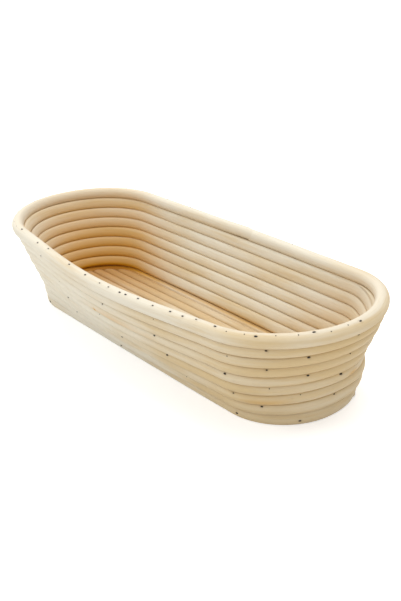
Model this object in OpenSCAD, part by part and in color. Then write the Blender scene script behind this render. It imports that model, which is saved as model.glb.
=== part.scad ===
// Long oval proofing basket of rattan cane.
// Straight canes side by side are the floor. The flared wall is wound round them, turn on turn.
// A slightly thicker cane is bent round the top as the rim, and pins hold each cane to the next.
// Millimetres, +Z up, +X along the basket.
// The origin is on the surface that the basket stands on, below the middle of the floor.

/* [Basket] */
// Length over the rim cane
rim_length = 349; // [330:1:370]
// Width over the rim cane at mid length
rim_width = 142; // [128:1:156]
// Length over the base turn
base_length = 306; // [290:1:322]
// Width over the base turn at mid length
base_width = 88.5; // [80:0.5:98]
// Turns of the wall below the rim, the base turn among them
wall_turns = 8; // [6:1:10]
// Length of each rounded end of the rim, at the middle of the cane
rim_end_depth = 53; // [44:1:62]
// Length of each rounded end of the base turn, at the middle of the cane
base_end_depth = 40; // [34:1:48]
// Outward bow of the long sides at the rim
rim_bow = 10; // [4:0.5:14]
// Outward bow of the long sides at the base turn
base_bow = 1; // [0:0.25:3]
// How far the sides stand out past a straight slope, halfway up
side_belly = 1.9; // [0:0.1:3]
// How far the ends stand in from a straight slope, halfway up
end_hollow = 0.7; // [0:0.1:2]

/* [Cane] */
// Diameter of the wall cane
cane_d = 7.35; // [6.4:0.05:8]
// Diameter of the rim cane
rim_cane_d = 8; // [7:0.1:9.2]
// Room between neighbouring turns at the middle of the sides
side_seam = 0.5; // [0.45:0.05:0.7]
// Room between neighbouring turns round the ends
end_seam = 0.8; // [0.7:0.05:0.95]
// Room between neighbouring canes of the floor, and round the floor
floor_seam = 0.6; // [0.5:0.05:0.8]
// Room between two lengths of cane that meet end to end
splice_gap = 0.5; // [0.45:0.05:0.8]
// Depth of the flat that the underside is sanded to
foot_flat = 0.72; // [0.4:0.02:1]

/* [Pins] */
// Diameter of a pin
pin_d = 1.4; // [1:0.1:1.8]
// Length of a pin's point
pin_point = 2; // [1:0.5:3]
// How far a pin's end stands out from the round of its cane
pin_proud = 0.4; // [0.3:0.05:0.6]
// Length of a pin from one turn of the wall into the turn below
seam_pin_l = 11; // [9:0.5:12]
// Length of a pin from the top of the rim
rim_pin_l = 12; // [10:0.5:13]
// Length of a pin from one cane of the floor into the next
floor_pin_l = 11; // [9:0.5:12]
// Length of a pin through the base turn into the floor
base_pin_l = 12; // [11:0.5:14]
// Pins in each turn of the wall
pins_per_turn = 8; // [6:1:14]
// Pins in the top of the rim to each pin of the seam below it
rim_pins_per_pin = 5; // [1:1:6]
// Pins in each cane of the floor
pins_per_cane = 3; // [1:1:4]
// How far round its cane, outwards from the top, a pin of the wall comes out
pin_lean = 45; // [38:1:52]

/* [Hidden] */
// Canes of the floor on each side of the middle one
floor_pairs = 4;
FLOOR_CANES = [for (j = [1:2 * floor_pairs + 1]) str("floor_cane_", j)];
WALL_CANES = ["lower_cane", "middle_cane", "upper_cane", "rim_cane"];
PINS = ["floor_pins", "base_pins", "rim_pins"];
SEAM_PINS = [for (k = [1:wall_turns - 1]) str("seam_pins_", k)];

// Steps round each end and along each side, and the sides of a cane's section
end_steps = 8;
side_steps = 4;
rings = 2 * (end_steps + side_steps);
sides = 8;

// Rings over which each turn climbs to the next, at the far corner of the right end
climb_rings = 3;
climb_from = rings - climb_rings;

// Half length and half width of the middle of the base turn and of the rim, without the bow
base_l = (base_length - cane_d) / 2;
base_w = (base_width - cane_d) / 2 - base_bow;
rim_l = (rim_length - rim_cane_d) / 2;
rim_w = (rim_width - rim_cane_d) / 2 - rim_bow;

// The floor canes are as thick as fills the width inside the base turn
floor_room = base_w - cane_d / 2 - floor_seam;
floor_d = (floor_room - floor_pairs * floor_seam) / (floor_pairs + 0.5);
floor_pitch = floor_d + floor_seam;
foot_z = cane_d / 2 - foot_flat;
floor_z = floor_d / 2 - foot_flat;

// Lengths of cane in the wall, as the turns that each one starts at
middle_from = ceil(wall_turns * 3 / 8);
upper_from = ceil(wall_turns * 6 / 8);

// Half a ring past the corner each length meets the next, on a straight stretch
splice_at = 0.5;
// The rim's two ends meet at the middle of the far side
rim_splice_at = side_steps / 2;

function mix(a, b, t) = a + (b - a) * t;
function unit(v) = v / norm(v);
function ease(t) = t * t * (3 - 2 * t);

// Turns count from the base turn, 0, up to the rim
function up_wall(low, high, k) = mix(low, high, k / wall_turns);
function hump(k) = 4 * k / wall_turns * (1 - k / wall_turns);
function turn_d(k) = k == wall_turns ? rim_cane_d : cane_d;
function half_l(k) = up_wall(base_l, rim_l, k) - end_hollow * hump(k);
function half_w(k) = up_wall(base_w, rim_w, k) + side_belly * hump(k);
function bow(k) = up_wall(base_bow, rim_bow, k);
function end_depth(k) = up_wall(base_end_depth, rim_end_depth, k);

// Each turn lies against the one below, so its rise follows from how far it stands out.
// The base turn's section stands upright on its flat, so a corner of it meets the turn above.
function rise(apart, out) = sqrt(apart * apart - out * out);
function corner(k) = k == 0 ? cane_d / 2 * (1 / cos(180 / sides) - 1) : 0;
function apart(k, seam) = (turn_d(k) + turn_d(k + 1)) / 2 + seam + corner(k);
function end_rise(k) = rise(apart(k, end_seam), half_l(k + 1) - half_l(k));
function mid_out(k) = half_w(k + 1) + bow(k + 1) - half_w(k) - bow(k);
function side_rise(k) = rise(apart(k, side_seam), mid_out(k));
end_z = [for (k = 0, z = foot_z; k <= wall_turns; z = z + end_rise(k), k = k + 1) z];
side_z = [for (k = 0, z = foot_z; k <= wall_turns; z = z + side_rise(k), k = k + 1) z];

// Outline of one turn without its bow: far side, left end, near side, right end
function outline(k, i) =
    let (l = half_l(k), w = half_w(k), depth = end_depth(k), s = l - depth, half = side_steps / 2)
    i <= side_steps ? [s * (1 - i / half), w]
    : i <= rings / 2 ? let (a = 90 + 180 * (i - side_steps) / end_steps) [depth * cos(a) - s, w * sin(a)]
    : i <= rings / 2 + side_steps ? [s * ((i - rings / 2) / half - 1), -w]
    : let (a = 180 * (i - rings / 2 - side_steps) / end_steps - 90) [s + depth * cos(a), w * sin(a)];

// The middle of a turn's cane at ring i of the turn
function turn_point(k, i) =
    let (p = outline(k, i), swell = pow(cos(90 * p.x / half_l(k)), 2))
    [p.x, p.y * (1 + bow(k) * swell / half_w(k)), mix(end_z[k], side_z[k], swell)];

// A place on a turn between two rings
function on_turn(k, n) = mix(turn_point(k, floor(n)), turn_point(k, floor(n) + 1), n - floor(n));
// The way that a turn runs at a place, along its straight step there
function turn_step(k, n) = unit(turn_point(k, floor(n) + 1) - turn_point(k, floor(n)));
// The way that it runs at a ring, between the steps on both sides
function turn_way(k, i) = unit(turn_point(k, (i + 1) % rings) - turn_point(k, (i + rings - 1) % rings));

// The winding: ring n counts on through all turns, and each turn climbs to the next at its last rings
function climb(i) = ease(max(0, i - climb_from) / climb_rings);
function turn_of(n) = floor(n / rings);
function wound_ring(n) =
    let (k = turn_of(n), i = n - k * rings)
    mix(turn_point(k, i), turn_point(k + 1, i), climb(i));
function wound(n) = mix(wound_ring(floor(n)), wound_ring(floor(n) + 1), n - floor(n));

// Slope of the wall at a ring: the way from one turn to the next
function slope(k, i) =
    let (low = min(k, wall_turns - 1))
    k == 0 ? [0, 0, 1] : unit(turn_point(low + 1, i) - turn_point(low, i));
function wound_slope(n) =
    let (k = turn_of(n), i = n - k * rings)
    mix(slope(k, i), slope(k + 1, i), climb(i));

// One ring of a cane's section, square to the way the cane runs and flat where it would go below the foot
function sanded(p) = [p.x, p.y, max(0, p.z)];
function section(c, along, up, d, left = [1, 1]) =
    let (t = unit(along), s = unit(up - (up * t) * t), o = cross(t, s), r = d / 2 / cos(180 / sides))
    [for (j = [0:sides - 1])
        let (a = 360 * (j + 0.5) / sides)
        sanded(c + r * (left.x * cos(a) * o + left.y * sin(a) * s))];

// Rings of a length of the winding from ring a to ring b, drawn back at its ends by half the splice
function stops(a, b) = concat([a], [for (n = [floor(a) + 1:ceil(b) - 1]) n], [b]);
function drawn_back(list, gap) =
    let (n = len(list) - 1, first = unit(list[1] - list[0]), last = unit(list[n] - list[n - 1]))
    [for (i = [0:n]) i == 0 ? list[0] + first * gap / 2 : i == n ? list[n] - last * gap / 2 : list[i]];
function way(list, i) = unit(list[min(i + 1, len(list) - 1)] - list[max(i - 1, 0)]);
function wound_rings(a, b, d) =
    let (at = stops(a, b), path = drawn_back([for (n = at) wound(n)], splice_gap))
    [for (i = [0:len(at) - 1]) section(path[i], way(path, i), wound_slope(round(at[i])), d)];

// The last turn of the wall stays level, and is pared to a wedge over the climb of the turn below
top_turn = wall_turns - 1;
function tail_ring(i) =
    let (run = turn_way(top_turn, i), up = slope(top_turn, i), lost = climb(i) * (cane_d + end_seam))
    section(turn_point(top_turn, i) + up * lost / 2, run, up, cane_d, [1, 1 - lost / cane_d]);
tail_rings = [for (i = [climb_from:rings - 1]) tail_ring(i)];

// The base turn starts as a wedge too, on the foot below its own climb
function start_ring(i) =
    let (up = slope(0, i), lost = (1 - climb(i)) * (cane_d + end_seam))
    section(turn_point(0, i) - up * lost / 2, turn_way(0, i), up, cane_d, [1, 1 - lost / cane_d]);
start_rings = [for (i = [climb_from + 1:rings]) start_ring(i)];

// The rim goes once round at one height and meets itself
function rim_point(n) = on_turn(wall_turns, n % rings);
rim_stops = stops(rim_splice_at, rim_splice_at + rings);
rim_path = drawn_back([for (n = rim_stops) rim_point(n)], splice_gap);
function rim_slope(n) = slope(wall_turns, round(n) % rings);
rim_rings = [for (i = [0:len(rim_stops) - 1])
    section(rim_path[i], way(rim_path, i), rim_slope(rim_stops[i]), rim_cane_d)];

// Least room between a tube and its own next turn, measured between the corners of its sections
function corner_gap(p, q) = min([for (a = p) for (b = q) norm(a - b)]);
function turn_gap(list) =
    min([for (i = [0:len(list) - rings]) for (j = [i + rings - 2:min(i + rings + 2, len(list) - 1)])
        corner_gap(list[i], list[j])]);

lower_rings = concat(start_rings, wound_rings(1, middle_from * rings + splice_at, cane_d));
middle_rings = wound_rings(middle_from * rings + splice_at, upper_from * rings + splice_at, cane_d);
upper_end = wall_turns * rings - climb_rings - 1;
upper_rings = concat(wound_rings(upper_from * rings + splice_at, upper_end, cane_d), tail_rings);
echo(lower_self_gap = turn_gap(lower_rings));
echo(middle_self_gap = turn_gap(middle_rings));
echo(upper_self_gap = turn_gap(upper_rings));
echo(rim_self_gap = corner_gap(rim_rings[0], rim_rings[len(rim_rings) - 1]));
echo(height = end_z[wall_turns] + rim_cane_d / 2);

// A tube through a list of sections, closed at both ends
module tube(list) {
    last = (len(list) - 1) * sides;
    walls = [for (i = [0:len(list) - 2]) for (j = [0:sides - 1])
        let (a = i * sides + j, b = i * sides + (j + 1) % sides)
        each [[a, a + sides, b], [b, a + sides, b + sides]]];
    start = [for (j = [1:sides - 2]) [0, j, j + 1]];
    finish = [for (j = [1:sides - 2]) [last, last + j + 1, last + j]];
    polyhedron(points = [for (ring = list) each ring], faces = concat(walls, start, finish), convexity = 10);
}

// A pointed pin from a place on, along a direction, or its hole, which stays open above the pin
hole_above = pin_d;
module pin(at, along, length, above = 0) {
    d = unit(along);
    shank = length - pin_point;
    translate(at)
        rotate([0, acos(d.z), atan2(d.y, d.x)]) {
            translate([0, 0, -above])
                cylinder(d = pin_d, h = shank + above, $fn = 32);
            translate([0, 0, shank])
                cylinder(d1 = pin_d, d2 = 0, h = pin_point, $fn = 32);
        }
}

// Where a turn is pinned: even places round its level part, clear of the splice and of the climb
pin_from = splice_at + 0.7;
pin_to = climb_from - 0.4;
function pin_stop(j, count, offset) = mix(pin_from, pin_to, (j + offset) / count);
// Pins move on by half a place from turn to turn, so that those of two seams don't meet in one turn
function seam_offset(k) = 0.25 + 0.5 * (k % 2);

// A pin at place n of turn k, from the upper flank of its cane down into the turn below
module flank_pin(k, n, lean, length, above) {
    low = on_turn(k - 1, n);
    high = on_turn(k, n);
    up = unit(high - low);
    out = unit(cross(turn_step(k, n), up));
    end = high + (turn_d(k) / 2 + pin_proud) * (cos(lean) * up + sin(lean) * out);
    pin(end, low - end, length, above);
}

// Pins of the seam under turn k, which come out in the groove above that turn
module seam_pins(k, above = 0) {
    color("dimgray")
        for (j = [0:pins_per_turn - 1])
            flank_pin(k, pin_stop(j, pins_per_turn, seam_offset(k)), pin_lean, seam_pin_l, above);
}

// Pins from the top of the rim down into the turn below, halfway between the pins of that turn
module rim_pins(above = 0) {
    pins_in_rim = rim_pins_per_pin * pins_per_turn;
    offset = (rim_pins_per_pin * seam_offset(top_turn) + 0.5) % 1;
    color("dimgray")
        for (j = [0:pins_in_rim - 1])
            flank_pin(wall_turns, pin_stop(j, pins_in_rim, offset), 0, rim_pin_l, above);
}

// Level pins from the outside of the base turn into the floor
module base_pins(above = 0) {
    color("dimgray")
        for (j = [0:pins_per_turn - 1]) {
            n = pin_stop(j, pins_per_turn, seam_offset(0));
            out = cross(turn_step(0, n), [0, 0, 1]);
            pin(on_turn(0, n) + out * (cane_d / 2 + pin_proud), -out, base_pin_l, above);
        }
}

// Level pins from the seam outside each cane of the floor, through it and into the next one inwards
straight_l = base_l - base_end_depth;
module floor_pins() {
    color("dimgray")
        for (side = [-1, 1]) for (j = [1:floor_pairs]) for (i = [0:pins_per_cane - 1]) {
            x = straight_l * (2 * (i + seam_offset(j)) / pins_per_cane - 1);
            pin([x, side * (j + 0.5) * floor_pitch, floor_z], [0, -side, 0], floor_pin_l);
        }
}

// The floor canes are cut to the inside of the base turn
floor_edge = [for (i = [0:rings - 1])
    let (out = cross(turn_way(0, i), [0, 0, 1]), p = turn_point(0, i) - out * (cane_d / 2 + floor_seam))
    [p.x, p.y]];

// A cane of the floor, counted across from the middle one
module floor_cane(j) {
    color("burlywood")
        difference() {
            intersection() {
                translate([-base_l, j * floor_pitch, floor_z])
                    rotate([0, 90, 0])
                        cylinder(d = floor_d, h = 2 * base_l, $fn = 48);
                linear_extrude(height = 2 * floor_d)
                    polygon(floor_edge);
            }
            floor_pins();
            base_pins(hole_above);
        }
}

// A length of the wall, cut for the pins of the seams under one turn up to another
module wall_cane(list, from, to) {
    difference() {
        tube(list);
        for (k = [from:to]) seam_pins(k, hole_above);
    }
}

module lower_cane() {
    color("wheat")
        difference() {
            wall_cane(lower_rings, 1, middle_from);
            base_pins(hole_above);
        }
}

module middle_cane() {
    color("wheat")
        wall_cane(middle_rings, middle_from, upper_from);
}

module upper_cane() {
    color("wheat")
        difference() {
            wall_cane(upper_rings, upper_from, top_turn);
            rim_pins(hole_above);
        }
}

module rim_cane() {
    color("tan")
        difference() {
            tube(rim_rings);
            rim_pins(hole_above);
        }
}

for (j = [-floor_pairs:floor_pairs])
    floor_cane(j);
lower_cane();
middle_cane();
upper_cane();
rim_cane();
floor_pins();
base_pins();
rim_pins();
for (k = [1:top_turn])
    seam_pins(k);
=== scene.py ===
import math
import random

import bmesh
import bpy
from mathutils import Matrix, Vector, kdtree, noise


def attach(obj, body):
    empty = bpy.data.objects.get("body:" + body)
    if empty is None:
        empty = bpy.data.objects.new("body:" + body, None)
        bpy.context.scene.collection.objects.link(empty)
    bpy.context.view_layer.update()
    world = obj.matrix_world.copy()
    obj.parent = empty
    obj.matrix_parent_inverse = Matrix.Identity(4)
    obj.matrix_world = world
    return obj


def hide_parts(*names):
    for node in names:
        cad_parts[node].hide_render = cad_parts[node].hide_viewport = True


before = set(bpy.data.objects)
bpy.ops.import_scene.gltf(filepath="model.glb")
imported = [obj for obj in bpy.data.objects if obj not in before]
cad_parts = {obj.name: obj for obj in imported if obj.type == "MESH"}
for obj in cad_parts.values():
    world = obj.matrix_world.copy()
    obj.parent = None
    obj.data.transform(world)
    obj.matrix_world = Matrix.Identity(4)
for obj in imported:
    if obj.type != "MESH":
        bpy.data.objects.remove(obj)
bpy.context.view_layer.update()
mm = 0.001
print("frame loaded with", len(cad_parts), "nodes")


# shape of the basket, in millimetres at the middle of the canes
basket = {
    "wallTurns": 8,              # turns below the rim
    "baseHalf": (149.3, 39.6),   # half length and half width of the base turn, without its bow
    "rimHalf": (170.5, 57.0),
    "endDepth": (40.0, 53.0),    # rounded ends, base turn and rim
    "bow": (1.0, 10.0),          # outward bow of the long sides, base turn and rim
    "sideBelly": 1.9,
    "endHollow": 0.7,
    "apartAtEnds": 8.15,         # from one turn to the next
    "apartAtSides": 7.85,
    "baseApart": 0.3,            # more room above the base turn
    "rimApart": 0.33,            # more room below the thicker rim
    "baseZ": 2.95,
    "sideSteps": 4,              # places along a side, and round an end
    "endSteps": 8,
    "climbSteps": 3,             # last places of a turn, over which it climbs to the next
    "spliceAt": 0.5,             # place at which two lengths of cane meet
    "middleFrom": 3,             # turns at which the middle and the upper length start
    "upperFrom": 6,
}
# unevenness of the ends: how far each turn stands out or up at most, where, and over how many places
uneven = {
    "left": (0.0, -2.3, -4.4, -4.9, -4.7, -4.5, -4.0, -3.4, -1.5),
    "leftAt": 10.9,
    "leftReach": 2.6,
    "right": (1.8, 2.6, 2.2, -1.2, -1.6, -0.8, 0.0, 0.0, 0.0),
    "rightAt": 22.0,
    "rightReach": 2.0,
    "up": (0.0, 2.2, 3.2, 3.1, 2.8, 2.6, 2.2, 1.6, 0.6),
    "upAt": 19.8,
    "upReach": 3.9,
}
turns = basket["wallTurns"]
places = 2 * (basket["sideSteps"] + basket["endSteps"])
climbFrom = places - basket["climbSteps"]


def mixed(a, b, t):
    return a + (b - a) * t


def eased(t):
    t = min(1.0, max(0.0, t))
    return t * t * (3 - 2 * t)


def upWall(pair, k):
    return mixed(pair[0], pair[1], k / turns)


def hump(k):
    return 4 * k / turns * (1 - k / turns)


def halfLength(k):
    return upWall((basket["baseHalf"][0], basket["rimHalf"][0]), k) - basket["endHollow"] * hump(k)


def halfWidth(k):
    return upWall((basket["baseHalf"][1], basket["rimHalf"][1]), k) + basket["sideBelly"] * hump(k)


def bowOf(k):
    return upWall(basket["bow"], k)


def endDepth(k):
    return upWall(basket["endDepth"], k)


def turnHeights(apart, reach):
    heights = [basket["baseZ"]]
    for k in range(turns):
        spare = basket["baseApart"] if k == 0 else basket["rimApart"] if k == turns - 1 else 0.0
        out = reach(k + 1) - reach(k)
        heights.append(heights[-1] + math.sqrt((apart + spare) ** 2 - out ** 2))
    return heights


endHeights = turnHeights(basket["apartAtEnds"], halfLength)
sideHeights = turnHeights(basket["apartAtSides"], lambda k: halfWidth(k) + bowOf(k))


def unevenness(way, k, place):
    offset = min(1.0, abs(place - uneven[way + "At"]) / uneven[way + "Reach"])
    return uneven[way][k] * math.cos(0.5 * math.pi * offset) ** 2


# middle of turn k at a place: far side, left end, near side, right end
def turnPoint(k, place):
    place %= places
    side, end = basket["sideSteps"], basket["endSteps"]
    half, depth = halfLength(k), endDepth(k)
    straight = half - depth
    out = unevenness("left", k, place) + unevenness("right", k, place)
    wide, depth = halfWidth(k) + out, depth + out
    if place <= side:
        x, y = straight * (1 - 2 * place / side), wide
    elif place <= side + end:
        turned = math.pi * (0.5 + (place - side) / end)
        x, y = depth * math.cos(turned) - straight, wide * math.sin(turned)
    elif place <= 2 * side + end:
        x, y = straight * (2 * (place - side - end) / side - 1), -wide
    else:
        turned = math.pi * ((place - 2 * side - end) / end - 0.5)
        x, y = straight + depth * math.cos(turned), wide * math.sin(turned)
    swell = math.cos(0.5 * math.pi * x / half) ** 2
    z = mixed(endHeights[k], sideHeights[k], swell) + unevenness("up", k, place)
    return Vector((x, y * (1 + bowOf(k) * swell / wide), z))


# the way along a turn, and up the wall
def wayAt(k, place):
    reach = 0.05
    return (turnPoint(k, place + reach) - turnPoint(k, place - reach)).normalized()


def slopeAt(k, place):
    if k == 0:
        return Vector((0, 0, 1))
    low = min(k, turns - 1)
    return (turnPoint(low + 1, place) - turnPoint(low, place)).normalized()


# sections and ends of the wound canes, in millimetres
cane = {
    "corners": 24,
    "step": 2.2,             # between two rings of a cane
    "trials": 24,            # trial points per place, from which the even steps are measured
    "leastTrials": 8,
    "leastRings": 4,
    "wallWide": 4.15,        # half width of a wall cane, across the wall
    "rimWide": 4.45,
    "rimHigh": 4.4,
    "baseLow": 4.0,          # half height of the base turn downwards, before it is sanded
    "press": 0.16,           # how far neighbours are pressed into each other
    "wedge": 0.97,           # share of the height that is pared away at the tip of a wedge
    "startWedge": (0.6, 0.9),    # places from the start of the climb to the tip, and on past the turn's end
    "woundFrom": 1,          # place at which the full cane goes on
    "tailWedge": (0.1, 0.4),     # places from the start of the climb, and from the tip to the turn's end
    "wander": (0.28, 0.14),  # slow sideways and upward wander
    "wanderFrom": 40.0,      # length over which it grows from a cane's end
    "swell": 0.022,          # slow change of thickness
    "slowLength": 55.0,      # length of these slow changes
    "swellPace": 0.7,
    "noiseRows": (0.5, 7.5, 13.5),   # where the noise is read for sideways, upward and thickness
    "noiseShift": 0.37,
    "grainApart": 900.0,     # from the grain of one cane to the next
    "spliceGap": 0.03,
}
# squareness of the sections on the outside and the inside, where 2 is round
squareness = {"floor_cane": (2.6, 2.6), "wall_cane": (2.15, 3.5), "rim_cane": (2.2, 2.2)}


# half width of a turn, and its half heights up and down to its neighbours
def sectionHalf(k, place):
    def toNext(low):
        return (turnPoint(low + 1, place) - turnPoint(low, place)).length / 2 + cane["press"]
    wide, high = (cane["rimWide"], cane["rimHigh"]) if k == turns else (cane["wallWide"], toNext(k))
    return wide, high, toNext(k - 1) if k > 0 else cane["baseLow"]


class Station:
    # one ring of a cane: its middle, the way up, and its half sizes across, up and down
    def __init__(self, middle, up, wide, high, low):
        self.middle, self.up = middle, up
        self.wide, self.high, self.low = wide, high, low
        self.cut = 0.0      # how far the ring leans along the cane at its outer side
        self.share = None   # share of the floor's length, on a cane that is cut to the floor's oval
        self.along = 0.0    # length of cane before it
        self.wander, self.swell = (0.0, 0.0), 1.0


def climbAt(place):
    return eased((place - climbFrom) / basket["climbSteps"])


def windingStation(n):
    k = math.floor(n / places)
    place = n - k * places
    climb = climbAt(place)
    above = min(k + 1, turns)
    middle = turnPoint(k, place).lerp(turnPoint(above, place), climb)
    up = slopeAt(k, place).lerp(slopeAt(above, place), climb)
    sizes = [mixed(a, b, climb) for a, b in zip(sectionHalf(k, place), sectionHalf(above, place))]
    return Station(middle, up, *sizes)


# the last turn of the wall is pared to a wedge over the climb of the turn below
def tailStation(place):
    k = turns - 1
    wide, high, low = sectionHalf(k, place)
    half = (high + low) / 2 * (1 - cane["wedge"] * climbAt(place))
    up = slopeAt(k, place)
    return Station(turnPoint(k, place) + up * (high - half), up, wide, half, half)


# the base turn starts as a wedge below its own climb
def startStation(place):
    wide, high, low = sectionHalf(0, place)
    half = (high + low) / 2 * (1 - cane["wedge"] * (1 - climbAt(place)))
    up = slopeAt(0, place)
    return Station(turnPoint(0, place) + up * (half - low), up, wide, half, half)


# the rim's ends meet in a slanting cut at the middle of the far side, and the first lies a little proud
rimStart = basket["sideSteps"] / 2
rimEnds = {
    "lift": 0.5,
    "liftReach": 0.45,       # places
    "slant": 7.0,
    "slantReach": 26.0,
}


def rimStation(n):
    up = slopeAt(turns, n)
    lift = rimEnds["lift"] * eased(1 - (n - rimStart) / rimEnds["liftReach"])
    return Station(turnPoint(turns, n) + up * lift, up, *sectionHalf(turns, n % places))


# straight canes of the floor, in millimetres
floorCanes = {
    "pairs": 4,          # on each side of the middle one
    "pitch": 7.91,
    "middleZ": 2.94,
    "high": 3.95,
    "step": 5.0,
    "tip": 3.4,          # length of a rounded end
    "tipSteps": 5,
    "tipLeft": 0.6,      # share of the thickness left at the very end
    "edge": 3.8,         # from the middle of the base turn to the ends of the canes
}


# length of the floor to its left or right end, at a distance from its middle line
def floorReach(y, toRight):
    deep, wide = endDepth(0) - floorCanes["edge"], halfWidth(0) - floorCanes["edge"]
    turned = math.asin(min(1.0, max(-1.0, y / wide)))
    place = places - basket["endSteps"] * (0.5 - turned / math.pi)
    out = unevenness("right", 0, place) if toRight else 0.0
    return halfLength(0) - endDepth(0) + (deep + out) * math.cos(turned)


def floorStations(j):
    y = j * floorCanes["pitch"]
    reach = floorReach(y, False)
    straight = reach - floorCanes["tip"]
    count = round(2 * straight / floorCanes["step"])
    tipSteps, high = floorCanes["tipSteps"], floorCanes["high"]
    tip = [straight + floorCanes["tip"] * math.sin(0.5 * math.pi * i / tipSteps)
           for i in range(1, tipSteps + 1)]
    between = [mixed(-straight, straight, i / count) for i in range(count + 1)]
    made = []
    for x in [-x for x in reversed(tip)] + between + tip:
        beyond = max(0.0, (abs(x) - straight) / floorCanes["tip"])
        left = max(floorCanes["tipLeft"], math.sqrt(max(0.0, 1 - beyond * beyond)))
        bowed = y * (1 + bowOf(0) * math.cos(0.5 * math.pi * x / halfLength(0)) ** 2 / halfWidth(0))
        station = Station(Vector((x, bowed, floorCanes["middleZ"])), Vector((0, 0, 1)),
                          (floorCanes["pitch"] / 2 + cane["press"]) * left, high * left, high * left)
        station.share = x / reach
        made.append(station)
    return made


# stations at even steps along the cane, between two places
def evenStations(maker, first, last):
    fine = max(cane["leastTrials"], int((last - first) * cane["trials"]))
    stops = [mixed(first, last, i / fine) for i in range(fine + 1)]
    points = [maker(n).middle for n in stops]
    lengths = [0.0]
    for a, b in zip(points, points[1:]):
        lengths.append(lengths[-1] + (b - a).length)
    count = max(cane["leastRings"], round(lengths[-1] / cane["step"]))
    made, at = [], 0
    for i in range(count + 1):
        want = lengths[-1] * i / count
        while at < fine - 1 and lengths[at + 1] < want:
            at += 1
        share = (want - lengths[at]) / max(1e-9, lengths[at + 1] - lengths[at])
        made.append(maker(mixed(stops[at], stops[at + 1], share)))
    return made


# half of the gap of a splice, at both ends of a cane
def drawnBack(stations, gap):
    first, second, before, last = (stations[i] for i in (0, 1, -2, -1))
    first.middle = first.middle + (second.middle - first.middle).normalized() * gap / 2
    last.middle = last.middle - (last.middle - before.middle).normalized() * gap / 2
    return stations


# slanting cut at both ends of a cane
def scarfed(stations, slant, reach):
    last = len(stations) - 1
    for i, station in enumerate(stations):
        station.cut = slant * eased(1 - min(i, last - i) * cane["step"] / reach)
    return stations


# lengths along a cane from where the one before it stopped, and its slow changes
def measured(stations, seed, start):
    sideRow, upRow, swellRow = cane["noiseRows"]
    stations[0].along = start
    for before, station in zip(stations, stations[1:]):
        station.along = before.along + (station.middle - before.middle).length
    for station in stations:
        slow = station.along / cane["slowLength"]
        fromEnd = min(station.along - start, stations[-1].along - station.along)
        grown = eased(fromEnd / cane["wanderFrom"])
        station.wander = (grown * cane["wander"][0] * noise.noise((slow, seed, sideRow)),
                          grown * cane["wander"][1] * noise.noise((slow, seed, upRow)))
        station.swell = 1 + cane["swell"] * noise.noise((slow * cane["swellPace"], seed, swellRow))
    return stations


def axesAt(stations, i):
    before, after = stations[max(i - 1, 0)], stations[min(i + 1, len(stations) - 1)]
    ahead = (after.middle - before.middle).normalized()
    up = stations[i].up
    up = (up - ahead * up.dot(ahead)).normalized()
    return ahead, up, ahead.cross(up)


# point of a section at an angle, as shares of its half sizes
def rounded(turned, square):
    across, high = math.cos(turned), math.sin(turned)
    power = 2 / square[0 if across > 0 else 1]
    return math.copysign(abs(across) ** power, across), math.copysign(abs(high) ** power, high)


# painted shade: brown on the inside of the bends, most of all low in the far left one where the deep corner
# lies in shade, and along the seam between the floor and the wall
paintedCornerShade = {
    "bendFrom": (19.0, 130.0),   # from the middle, at the floor and at the highest
    "bendTo": 138.0,
    "lowTo": 10.0,       # all of it up to here, and none above highTo
    "highTo": 104.0,
    "leastSide": 0.35,   # share of it in the other bends
    "sideLean": 0.3,
    "sideReach": 60.0,
    "floorFrom": 30.0,   # from the middle, on the floor canes
    "seamAt": 7.5,       # most of all in the seam between the floor and the wall
    "seamReach": 4.5,
    "seamMore": 0.4,
    "seamLeast": 0.5,    # and some of it all round
    "insideFrom": 0.45,  # share of a cane's half width, outwards
    "insideReach": 0.9,
}


# share of painted shade at a spot, deepest low in the far left bend
def cornerShadeAt(spot, start):
    bend = eased((abs(spot.x) - start) / (paintedCornerShade["bendTo"] - start))
    low = 1 - eased((spot.z - paintedCornerShade["lowTo"]) / (paintedCornerShade["highTo"] - paintedCornerShade["lowTo"]))
    side = (spot.y - paintedCornerShade["sideLean"] * spot.x) / paintedCornerShade["sideReach"]
    farLeft = mixed(paintedCornerShade["leastSide"], 1.0, eased(side))
    return bend * low * farLeft


# painted shade on the wall canes, in the bends and in the seam just above the floor
def wallCornerShade(spot):
    seam = 1 - eased(abs(spot.z - paintedCornerShade["seamAt"]) / paintedCornerShade["seamReach"])
    bend = cornerShadeAt(spot, mixed(*paintedCornerShade["bendFrom"], spot.z / paintedCornerShade["highTo"]))
    return max(bend * (1 + paintedCornerShade["seamMore"] * seam), paintedCornerShade["seamLeast"] * seam)


# brown streaks in the canes: turn, place, length, half width in millimetres, and strength
streaks = [
    (5, 13.78, 2.2, 1.5, 1.45),   # a knot
    (5, 14.15, 30.0, 2.6, 0.55),
    (3, 20.6, 5.0, 2.0, 0.8),
    (2, 17.5, 22.0, 2.2, 0.5),
    (6, 8.1, 18.0, 2.0, 0.4),
]


def streakPoints():
    for k, place, length, wide, strength in streaks:
        ahead = wayAt(k, place)
        out = ahead.cross(slopeAt(k, place)).normalized()
        yield turnPoint(k, place) + out * cane["wallWide"], ahead, length, wide, strength


streakList = list(streakPoints())


def streakAt(spot):
    most = 0.0
    for middle, ahead, length, wide, strength in streakList:
        apart = spot - middle
        along = apart.dot(ahead)
        across = (apart - ahead * along).length
        most = max(most, strength * math.exp(-(along / length) ** 2 - (across / wide) ** 2))
    return most


def asObject(name, bm):
    mesh = bpy.data.meshes.new(name)
    bm.to_mesh(mesh)
    bm.free()
    made = bpy.data.objects.new(name, mesh)
    bpy.context.collection.objects.link(made)
    return made


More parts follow.
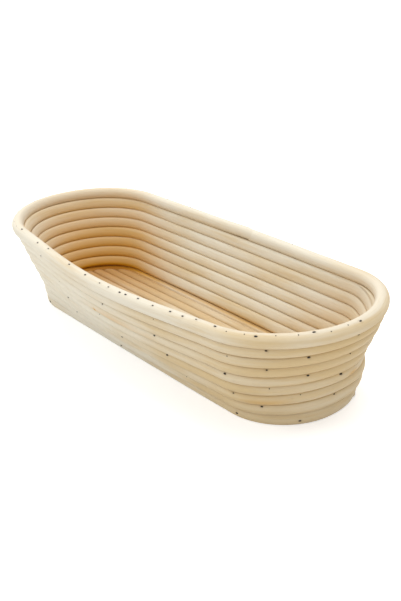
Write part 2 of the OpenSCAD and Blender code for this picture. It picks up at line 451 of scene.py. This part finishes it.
# a cane drawn out of a circle, ring by ring, and then laid along its stations
def drawCane(name, stations, seed, slot, stains):
    bm = bmesh.new()
    ringOf = bm.verts.layers.int.new("ring")
    cornerOf = bm.verts.layers.int.new("corner")
    grain = bm.verts.layers.float_vector.new("grain")   # place in the straight cane: along, across, up
    seat = bm.verts.layers.float_vector.new("seat")     # across and up as shares, and pin stain
    stainsAndShade = bm.verts.layers.float.new("stainsAndShade")          # painted shade of the deep bends, and the real brown streaks
    made = bmesh.ops.create_circle(bm, cap_ends=True, segments=cane["corners"], radius=1.0)
    for corner, vert in enumerate(made["verts"]):
        vert[cornerOf] = corner
    edges = bm.edges[:]
    for ring in range(1, len(stations)):
        grown = bmesh.ops.extrude_edge_only(bm, edges=edges)["geom"]
        for vert in (g for g in grown if isinstance(g, bmesh.types.BMVert)):
            vert[ringOf] = ring
        edges = [g for g in grown if isinstance(g, bmesh.types.BMEdge)
                 and all(vert[ringOf] == ring for vert in g.verts)]
    bmesh.ops.edgeloop_fill(bm, edges=edges)
    axes = [axesAt(stations, i) for i in range(len(stations))]
    outline = [rounded(2 * math.pi * corner / cane["corners"], squareness[slot])
               for corner in range(cane["corners"])]
    for vert in bm.verts:
        station = stations[vert[ringOf]]
        ahead, up, out = axes[vert[ringOf]]
        shareOut, shareUp = outline[vert[cornerOf]]
        across = station.wide * station.swell * shareOut
        high = (station.high if shareUp > 0 else station.low) * shareUp
        spot = station.middle + out * (across + station.wander[0]) + up * (high + station.wander[1])
        spot += ahead * station.cut * shareOut
        if station.share is not None:
            spot.x = station.share * floorReach(spot.y, station.share > 0)
        spot.z = max(0.0, spot.z)
        vert.co = spot * mm
        vert[grain] = Vector((station.along + cane["grainApart"] * seed, across, high)) * mm
        near = stains.find(spot)[2]
        vert[seat] = Vector((shareOut, shareUp, math.exp(-(near / pins["stainReach"]) ** 2)))
        # painted shade of the deep bends and of the floor's ends, and the real brown streaks, share one
        # attribute
        if slot == "floor_cane":
            shadeBrown = cornerShadeAt(spot, paintedCornerShade["floorFrom"])
        else:
            shadeBrown = wallCornerShade(spot) * eased((paintedCornerShade["insideFrom"] - shareOut) / paintedCornerShade["insideReach"])
        vert[stainsAndShade] = max(shadeBrown, streakAt(spot))
    bmesh.ops.recalc_face_normals(bm, faces=bm.faces)
    for face in bm.faces:
        face.smooth = len(face.verts) == 4
    for edge in bm.edges:
        edge.smooth = all(face.smooth for face in edge.link_faces)
    return asObject(name, bm)


# pins, in millimetres
pins = {
    "perTurn": 8,
    "rimPerPin": 5,          # rim pins for each pin of a turn
    "perFloorCane": 3,
    "fromSplice": 0.7,       # places from the splice to the first pin, and from the last one to the climb
    "toClimb": 0.4,
    "stagger": (0.25, 0.75),     # by turns, from one seam to the next
    "jitter": 0.16,          # places
    "seed": 5,
    "lean": 40.0,            # degrees round a wall cane from its top
    "rimLean": (-14.0, 12.0),
    "rimClose": (14.14, 14.31, 14.63, 15.1, 15.56, 15.74),   # places of more pins, close together
    "floorShift": 0.45,      # share of the pitch, from the middle of a floor cane to the seam
    "shankRadius": 0.4,
    "shankLength": 5.0,
    "point": 0.4,            # share of the radius at the point
    "headRadius": (0.52, 0.95),
    "headTop": 0.7,          # share of the radius at the top
    "headLong": 1.35,        # heads look longer along the cane
    "headHigh": 0.4,
    "sunk": 0.16,
    "faintRadius": 0.2,      # heads that hardly show
    "faintEvery": 3,         # one in three is faint in the seams, and bold in the rim's right-hand end
    "faintPast": 0.4,        # places past the near side, from which most rim pins are faint
    "segments": 10,
    "stainReach": 1.5,
}
pinFrom = basket["spliceAt"] + pins["fromSplice"]
pinTo = climbFrom - pins["toClimb"]
pinRandom = random.Random(pins["seed"])


def pinPlace(j, count, offset):
    return mixed(pinFrom, pinTo, (j + offset) / count) + pinRandom.uniform(-pins["jitter"], pins["jitter"])


def seamOffset(k):
    return pins["stagger"][k % 2]


class Pin:
    def __init__(self, spot, inward, ahead, faint=False):
        self.spot, self.inward, self.ahead = spot, inward, ahead
        self.faint = faint
        self.head = pins["faintRadius"] if faint else pinRandom.uniform(*pins["headRadius"])


# a pin of turn k, at an angle round its cane, down into the turn below
def flankPin(k, place, lean, faint=False):
    low, high = turnPoint(k - 1, place), turnPoint(k, place)
    up = (high - low).normalized()
    ahead = wayAt(k, place)
    out = ahead.cross(up).normalized()
    wide, tall, _ = sectionHalf(k, place)
    square = squareness["rim_cane" if k == turns else "wall_cane"]
    shareOut, shareUp = rounded(math.radians(90 - lean), square)
    spot = high + out * wide * shareOut + up * tall * shareUp
    return Pin(spot, (low - spot).normalized(), ahead, faint)


def basePin(place):
    ahead = wayAt(0, place)
    out = ahead.cross(Vector((0, 0, 1)))
    return Pin(turnPoint(0, place) + out * cane["wallWide"], -out, ahead)


# floor pins sit in the seams between the canes
def floorPin(side, j, i):
    straight = halfLength(0) - endDepth(0)
    x = straight * (2 * (i + seamOffset(j)) / pins["perFloorCane"] - 1)
    y = side * (j + pins["floorShift"]) * floorCanes["pitch"]
    spot = Vector((x, y, floorCanes["middleZ"]))
    return Pin(spot, Vector((0, -side, 0)), Vector((1, 0, 0)))


pinGroups = {}
for k in range(1, turns):
    spots = [pinPlace(j, pins["perTurn"], seamOffset(k)) for j in range(pins["perTurn"])]
    pinGroups[f"seam_pins_{k}"] = [
        flankPin(k, place, pins["lean"], (j + k) % pins["faintEvery"] == 0) for j, place in enumerate(spots)]
inRim = pins["rimPerPin"] * pins["perTurn"]
rimOffset = (pins["rimPerPin"] * seamOffset(turns - 1) + 0.5) % 1   # midway between those of the turn below
rimPlaces = [pinPlace(j, inRim, rimOffset) for j in range(inRim)]
nearFrom = basket["sideSteps"] + basket["endSteps"]
nearTo = nearFrom + basket["sideSteps"] + pins["faintPast"]


# all rim pins are bold on the near side, and some round the right-hand end
def faintInRim(j, place):
    return place < nearFrom or (place > nearTo and j % pins["faintEvery"] > 0)


pinGroups["rim_pins"] = [
    flankPin(turns, place, pinRandom.uniform(*pins["rimLean"]), faintInRim(j, place))
    for j, place in enumerate(rimPlaces)]
pinGroups["base_pins"] = [
    basePin(pinPlace(j, pins["perTurn"], seamOffset(0))) for j in range(pins["perTurn"])]
pinGroups["floor_pins"] = [
    floorPin(side, j, i) for side in (-1, 1) for j in range(1, floorCanes["pairs"] + 1)
    for i in range(pins["perFloorCane"])]
pinGroups["rim_pins"] += [
    flankPin(turns, place, pinRandom.uniform(*pins["rimLean"])) for place in pins["rimClose"]]

# the cane is stained round the pins that show
shown = [pin for name, group in pinGroups.items() if name != "floor_pins"
         for pin in group if not pin.faint]
stains = kdtree.KDTree(len(shown))
for i, pin in enumerate(shown):
    stains.insert(pin.spot, i)
stains.balance()


# a short shank with a low head
def drawPins(name, group):
    bm = bmesh.new()
    for pin in group:
        ahead = (pin.ahead - pin.inward * pin.ahead.dot(pin.inward)).normalized()
        turned = Matrix((ahead, pin.inward.cross(ahead), pin.inward)).transposed().to_4x4()
        foot = Matrix.Translation(pin.spot) @ turned
        shank = foot @ Matrix.Translation((0, 0, pins["shankLength"] / 2))
        bmesh.ops.create_cone(bm, cap_ends=True, segments=pins["segments"], radius1=pins["shankRadius"],
                              radius2=pins["shankRadius"] * pins["point"],
                              depth=pins["shankLength"], matrix=shank)
        head = foot @ Matrix.Translation((0, 0, pins["sunk"] - pins["headHigh"] / 2)) @ Matrix.Diagonal(
            (pins["headLong"], 1 / pins["headLong"], 1, 1))
        bmesh.ops.create_cone(bm, cap_ends=True, segments=pins["segments"], radius1=pin.head * pins["headTop"],
                              radius2=pin.head, depth=pins["headHigh"], matrix=head)
    bmesh.ops.scale(bm, vec=(mm, mm, mm), verts=bm.verts)
    bmesh.ops.recalc_face_normals(bm, faces=bm.faces)
    return asObject(name, bm)


# shader sums
class Wire:
    def __init__(self, tree, socket=None):
        self.tree, self.socket = tree, socket

    def make(self, kind, settings=None, inputs=None, output=0):
        node = self.tree.nodes.new(kind)
        for name, value in (settings or {}).items():
            setattr(node, name, value)
        for name, value in (inputs or {}).items():
            if isinstance(value, Wire):
                self.tree.links.new(value.socket, node.inputs[name])
            else:
                node.inputs[name].default_value = value
        return Wire(self.tree, node.outputs[output] if node.outputs else None)

    def sums(self, operation, a, b):
        return self.make("ShaderNodeMath", {"operation": operation}, {0: a, 1: b})

    def __add__(self, other):
        return self.sums("ADD", self, other)

    __radd__ = __add__

    def __sub__(self, other):
        return self.sums("SUBTRACT", self, other)

    def __rsub__(self, other):
        return self.sums("SUBTRACT", other, self)

    def __mul__(self, other):
        return self.sums("MULTIPLY", self, other)

    __rmul__ = __mul__

    def __pow__(self, other):
        return self.sums("POWER", self, other)

    def __abs__(self):
        return self.make("ShaderNodeMath", {"operation": "ABSOLUTE"}, {0: self})

    def spread(self, low, high, least=0.0, most=1.0):
        return self.make("ShaderNodeMapRange", {"interpolation_type": "SMOOTHSTEP"},
                         {"Value": self, "From Min": low, "From Max": high, "To Min": least, "To Max": most})

    def blend(self, a, b):
        return self.make("ShaderNodeMix", {"data_type": "RGBA"}, {0: self, 6: a, 7: b}, 2)


def linear(red, green, blue):
    def one(value):
        value /= 255
        return value / 12.92 if value <= 0.04045 else ((value + 0.055) / 1.055) ** 2.4
    return one(red), one(green), one(blue), 1.0


def newMaterial(name):
    material = bpy.data.materials.new(name)
    material.use_nodes = True
    tree = material.node_tree
    tree.nodes.clear()
    return material, Wire(tree)


# peeled cane: pale straw to honey, with fibres along its length, and painted shade in its seams, on the lower
# half of each cane and in the deep bends
peeled = {
    "straw": (225, 217, 199),
    "honey": (210, 186, 142),
    "tan": (202, 175, 133),
    "fibre": (203, 177, 130),
    # the two groove colours are painted shade in the seams between canes
    "grooveInside": (192, 156, 90),
    "grooveOutside": (150, 108, 44),
    # the next three colours are painted shade of the deep bends, on the wall and on the floor; the first also
    # colours the real brown streaks, and the third the darkest shade and the knot
    "shadeBrown": (206, 150, 28),
    "umber": (184, 130, 48),
    "deepShadeAndKnot": (158, 96, 10),
    "stainsAndShade": (104, 70, 36),
    "rightFrom": (-0.08, 0.17),      # metres along the basket, over which its outside darkens: partly the cane's own tone, partly painted shade where the light falls off
    "outside": (-0.3, 0.5),          # shares of a cane's half width
    "lower": (0.6, -0.7),            # shares of its half height, over which the lower half of a cane takes painted shade
    "groove": (0.82, 1.0),           # shares of the half size towards the next cane
    "grooveShadeStrength": (0.45, 0.5),       # strength of the painted shade in the seams, and how much more outside
    "shadeAndStreakBrowning": (0.66, 0.22, 0.16),  # strength all over, and how much more on the lower half of each cane and in the seams, where it is painted shade
    "deepShadeAndKnotFrom": (1.0, 1.5),
    "pinStain": 0.4,
    "noiseRough": 0.55,
    "roughness": (0.5, 0.16, 0.2),   # all over, and how much more with the fibres and in the pores
    "relief": (0.5, 0.35, 0.7),      # height of the bands and the fibres, and depth of the pores
    "bump": (0.4, 0.00018),          # strength and depth in metres
    "specular": 0.22,
}
# noises in a cane: scale along and across, detail, the range that shows, and its strength
grains = {
    "slow": (9.0, 30.0, 2.0, (0.34, 0.72), 0.5),         # paler and darker stretches, some centimetres long
    "bands": (26.0, 420.0, 3.0, (0.35, 0.75), 0.25),     # bundles of fibres
    "fibres": (55.0, 1500.0, 4.0, (0.5, 0.78), 0.3),     # single fibres
    "pores": (240.0, 3600.0, 1.0, (0.66, 0.76), 0.22),   # short open pores
    "seamShadeSpots": (48.0, 90.0, 1.0, (0.66, 0.74), 0.6),        # painted shade in spots along the seams
    "marks": (14.0, 130.0, 2.0, (0.68, 0.82), 0.16),     # brown marks here and there
}
# one finish for each kind of cane
caneFinishes = {
    # the floor is a darker honey all over: partly its own tone, partly painted shade, as it lies low between
    # the walls
    "floor_cane": {
        "name": "floorCane",
        "tones": ("tan", "umber"),   # the darker colour, and the painted shade of the deep corners
        "honeyed": 0.42,             # more or less of the darker colour all over
        "innerToneAndShade": 0.0,                # more of it on the inside of the wall: partly the cane's own tone, partly painted warm shade
        "rightShadeAndTone": 0.0,            # more of it on the outside, to the right-hand end: partly its own tone, partly painted shade
        "seams": "beside",           # where the next canes lie
    },
    "wall_cane": {
        "name": "wallCane",
        "tones": ("honey", "shadeBrown"),
        "honeyed": -0.25,
        "innerToneAndShade": 0.3,
        "rightShadeAndTone": 0.78,
        "seams": "round",
    },
    "rim_cane": {
        "name": "rimCane",
        "tones": ("honey", "shadeBrown"),
        "honeyed": -0.25,
        "innerToneAndShade": 0.05,
        "rightShadeAndTone": 0.5,
        "seams": "below",
    },
}


def peeledCane(name, tones, honeyed, innerToneAndShade, rightShadeAndTone, seams):
    material, wire = newMaterial(name)
    grain = wire.make("ShaderNodeAttribute", {"attribute_name": "grain"}, output="Vector")
    seat = wire.make("ShaderNodeAttribute", {"attribute_name": "seat"}, output="Vector")
    stainsAndShade = wire.make("ShaderNodeAttribute", {"attribute_name": "stainsAndShade"}, output="Fac")
    spot = wire.make("ShaderNodeTexCoord", output="Object")
    toRight = wire.make("ShaderNodeSeparateXYZ", inputs={0: spot}).spread(*peeled["rightFrom"])
    seatParts = wire.make("ShaderNodeSeparateXYZ", inputs={0: seat}).socket.node.outputs
    outward, upward, stain = (Wire(material.node_tree, seatParts[i]) for i in range(3))

    noises, shows = {}, {}
    for kind, (alongScale, acrossScale, detail, span, strength) in grains.items():
        stretched = wire.make("ShaderNodeVectorMath", {"operation": "MULTIPLY"},
                              {0: grain, 1: (alongScale, acrossScale, acrossScale)})
        noises[kind] = wire.make("ShaderNodeTexNoise", {"noise_dimensions": "3D"}, {
            "Vector": stretched, "Scale": 1.0, "Detail": detail, "Roughness": peeled["noiseRough"]})
        shows[kind] = noises[kind].spread(*span) * strength

    # painted shade in the seams between neighbouring canes, between the floor canes, and under the rim
    towards = {"round": abs(upward), "below": 0 - upward, "beside": abs(outward)}
    groove = towards[seams].spread(*peeled["groove"])
    lower = groove if seams == "beside" else upward.spread(*peeled["lower"])
    outside = outward.spread(*peeled["outside"])
    # paler and darker stretches are the cane's own; more of the darker colour inside and towards the right-hand
    # end is partly its own tone, partly painted shade
    honeyShare = (shows["slow"] + shows["bands"] + (1 - outside) * innerToneAndShade
                  + outside * toRight * rightShadeAndTone + honeyed)
    body = honeyShare.spread(0.0, 1.0).blend(linear(*peeled["straw"]), linear(*peeled[tones[0]]))
    lined = shows["fibres"].blend(body, linear(*peeled["fibre"]))
    dark = outside.blend(linear(*peeled["grooveInside"]), linear(*peeled["grooveOutside"]))
    grooveInside, moreOutside = peeled["grooveShadeStrength"]
    seamed = (groove * (grooveInside + outside * moreOutside)).blend(lined, dark)
    # the brown grows deeper on the lower half of each cane and in the seams: painted shade
    allOver, moreLow, moreInSeams = peeled["shadeAndStreakBrowning"]
    shadeAndStreakBrowning = stainsAndShade * (allOver + lower * moreLow + groove * moreInSeams)
    browned = shadeAndStreakBrowning.blend(seamed, linear(*peeled[tones[1]]))
    # darkest painted shade deep in the far left bend, and the dark knot
    deepShadeAndKnot = stainsAndShade.spread(*peeled["deepShadeAndKnotFrom"]).blend(browned, linear(*peeled["deepShadeAndKnot"]))
    # brown marks, pores and rust stains round the pins are the cane's own; the dark spots in the seams are
    # painted shade
    marks = shows["marks"] + stain * peeled["pinStain"] + shows["pores"] + groove ** 2.0 * shows["seamShadeSpots"]
    stainedAndSeamShaded = marks.spread(0.0, 1.0).blend(deepShadeAndKnot, linear(*peeled["stainsAndShade"]))
    smooth, fibreRough, poreRough = peeled["roughness"]
    rough = smooth + noises["fibres"] * fibreRough + shows["pores"] * poreRough
    bandHigh, fibreHigh, poreDeep = peeled["relief"]
    relief = noises["bands"] * bandHigh + noises["fibres"] * fibreHigh - shows["pores"] * poreDeep
    strength, depth = peeled["bump"]
    bump = wire.make("ShaderNodeBump", inputs={"Strength": strength, "Distance": depth, "Height": relief})
    shader = wire.make("ShaderNodeBsdfPrincipled", inputs={
        "Base Color": stainedAndSeamShaded, "Roughness": rough, "Normal": bump, "Specular IOR Level": peeled["specular"]})
    wire.make("ShaderNodeOutputMaterial", inputs={"Surface": shader})
    return material


# dull dark wire
pinFinish = {
    "dark": (30, 22, 15),
    "worn": (58, 45, 32),
    "scale": 900.0,
    "detail": 2.0,
    "wornFrom": (0.35, 0.7),
    "roughness": (0.5, 0.3),    # all over, and how much more where it is worn
    "metallic": 0.15,
}


def pinSteel():
    material, wire = newMaterial("pinSteel")
    spot = wire.make("ShaderNodeTexCoord", output="Object")
    dull = wire.make("ShaderNodeTexNoise", inputs={
        "Vector": spot, "Scale": pinFinish["scale"], "Detail": pinFinish["detail"]})
    colour = dull.spread(*pinFinish["wornFrom"]).blend(linear(*pinFinish["dark"]), linear(*pinFinish["worn"]))
    smooth, wornRough = pinFinish["roughness"]
    shader = wire.make("ShaderNodeBsdfPrincipled", inputs={
        "Base Color": colour, "Roughness": smooth + dull * wornRough, "Metallic": pinFinish["metallic"]})
    wire.make("ShaderNodeOutputMaterial", inputs={"Surface": shader})
    return material


def dress(piece, material, node, slot):
    piece.data.materials.append(material)
    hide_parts(node)
    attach(piece, "root")


# canes
gap = cane["spliceGap"]
splice = basket["spliceAt"]
middleStart = basket["middleFrom"] * places + splice
upperStart = basket["upperFrom"] * places + splice
upperEnd = turns * places - basket["climbSteps"]
startFrom, startTo = cane["startWedge"]
tailFrom, tailTo = cane["tailWedge"]
lowerStations = (evenStations(startStation, climbFrom + startFrom, places + startTo)
                 + evenStations(windingStation, cane["woundFrom"], middleStart))
middleStations = drawnBack(evenStations(windingStation, middleStart, upperStart), gap)
upperStations = (evenStations(windingStation, upperStart, upperEnd)
                 + evenStations(tailStation, climbFrom + tailFrom, places - tailTo))
rimStations = drawnBack(evenStations(rimStation, rimStart, rimStart + places), gap)
rimStations = scarfed(rimStations, rimEnds["slant"], rimEnds["slantReach"])
finishes = {slot: peeledCane(**settings) for slot, settings in caneFinishes.items()}
caneList = [(f"floor_cane_{j + floorCanes['pairs'] + 1}", floorStations(j), "floor_cane")
            for j in range(-floorCanes["pairs"], floorCanes["pairs"] + 1)]
caneList += [
    ("lower_cane", lowerStations, "wall_cane"),
    ("middle_cane", middleStations, "wall_cane"),
    ("upper_cane", upperStations, "wall_cane"),
    ("rim_cane", rimStations, "rim_cane"),
]
wound = 0.0
for i, (node, stations, slot) in enumerate(caneList):
    seed = -1 if slot == "wall_cane" else i   # the grain goes on from one wall cane to the next
    measured(stations, seed + cane["noiseShift"], wound if slot == "wall_cane" else 0.0)
    wound = stations[-1].along
    piece = drawCane(f"peeled_{node}", stations, seed, slot, stains)
    dress(piece, finishes[slot], node, slot)
    print("drew", node, "with", len(stations), "rings")

steel = pinSteel()
for node, group in pinGroups.items():
    dress(drawPins(f"driven_{node}", group), steel, node, "pins")
print("set pins in", len(pinGroups), "groups")


# floor, light and camera
studio = {
    "floorSize": 4.0,
    "floorGrey": 0.86,
    "floorGlow": (0.43, 0.57),     # near the basket, where its shadow falls, and away from it
    "glowReach": (0.3, 1.2),
    "worldFill": 0.5,
    "lamps": [   # place, aim, size in metres, watts, colour
        ((-1.2, -1.4, 1.2), (0.0, 0.0, 0.03), 1.4, 16.0, (0.93, 0.975, 1.0)),
        ((0.1, 0.45, 1.7), (0.0, 0.0, 0.03), 1.3, 18.0, (1.0, 0.985, 0.96)),
        ((-1.3, 0.5, 1.1), (0.1, 0.0, 0.03), 0.9, 6.5, (1.0, 0.97, 0.93)),
        ((1.5, -0.9, 0.6), (0.05, 0.0, 0.03), 1.2, 5.5, (1.0, 0.95, 0.88)),
    ],
}


def seenDirectly(wire):
    path = wire.make("ShaderNodeLightPath").socket.node.outputs
    camera, glossy, through = (Wire(wire.tree, path[name]) for name in
                               ("Is Camera Ray", "Is Glossy Ray", "Is Transmission Ray"))
    return camera.sums("MAXIMUM", camera, camera.sums("MAXIMUM", glossy, through))


def makeFloor():
    bm = bmesh.new()
    bmesh.ops.create_grid(bm, x_segments=2, y_segments=2, size=studio["floorSize"])
    floor = asObject("floor", bm)
    material, wire = newMaterial("paleFloor")
    grey = studio["floorGrey"]
    matt = wire.make("ShaderNodeBsdfDiffuse", inputs={"Color": (grey, grey, grey, 1.0)})
    spot = wire.make("ShaderNodeTexCoord", output="Object")
    away = wire.make("ShaderNodeVectorMath", {"operation": "LENGTH"}, {0: spot}, "Value")
    strength = away.spread(*studio["glowReach"], *studio["floorGlow"])
    glow = wire.make("ShaderNodeEmission", inputs={"Strength": seenDirectly(wire) * strength})
    both = wire.make("ShaderNodeAddShader", inputs={0: matt, 1: glow})
    wire.make("ShaderNodeOutputMaterial", inputs={"Surface": both})
    floor.data.materials.append(material)


def makeWorld():
    world = bpy.data.worlds.new("studio")
    world.use_nodes = True
    world.node_tree.nodes.clear()
    wire = Wire(world.node_tree)
    fill = wire.make("ShaderNodeBackground", inputs={"Color": (1, 1, 1, 1), "Strength": studio["worldFill"]})
    white = wire.make("ShaderNodeBackground", inputs={"Color": (1, 1, 1, 1), "Strength": 1.0})
    both = wire.make("ShaderNodeMixShader", inputs={0: seenDirectly(wire), 1: fill, 2: white})
    wire.make("ShaderNodeOutputWorld", inputs={"Surface": both})
    bpy.context.scene.world = world


def makeLamps():
    for i, (place, aim, size, watts, colour) in enumerate(studio["lamps"]):
        lamp = bpy.data.lights.new(f"softbox{i}", "AREA")
        lamp.size, lamp.energy, lamp.color = size, watts, colour
        box = bpy.data.objects.new(f"softbox{i}", lamp)
        box.location = place
        box.rotation_euler = (Vector(aim) - Vector(place)).to_track_quat("-Z", "Y").to_euler()
        bpy.context.collection.objects.link(box)


# camera fitted to the photograph: millimetres, degrees and pixels
eye = {
    "place": (502.3, -351.5, 300.1),
    "azimuth": 53.61,
    "elevation": 24.03,
    "roll": -3.32,
    "focalPixels": 935.59,
    "frameHigh": 601,
    "sensor": 36.0,
    "clipStart": 0.01,
}


def makeCamera():
    turned, raised, rolled = (math.radians(eye[name]) for name in ("azimuth", "elevation", "roll"))
    right = Vector((math.cos(turned), math.sin(turned), 0))
    back = Vector((math.sin(turned) * math.cos(raised), -math.cos(turned) * math.cos(raised), math.sin(raised)))
    up = back.cross(right)
    across = right * math.cos(rolled) + up * math.sin(rolled)
    upright = up * math.cos(rolled) - right * math.sin(rolled)
    lens = bpy.data.cameras.new("camera")
    lens.sensor_width = eye["sensor"]
    lens.lens = eye["focalPixels"] * eye["sensor"] / eye["frameHigh"]
    lens.clip_start = eye["clipStart"]
    camera = bpy.data.objects.new("camera", lens)
    camera.matrix_world = Matrix.Translation(Vector(eye["place"]) * mm) @ Matrix(
        (across, upright, back)).transposed().to_4x4()
    bpy.context.collection.objects.link(camera)
    bpy.context.scene.camera = camera


makeFloor()
makeWorld()
makeLamps()
makeCamera()
bpy.context.scene.view_settings.view_transform = "Standard"
print("studio ready")
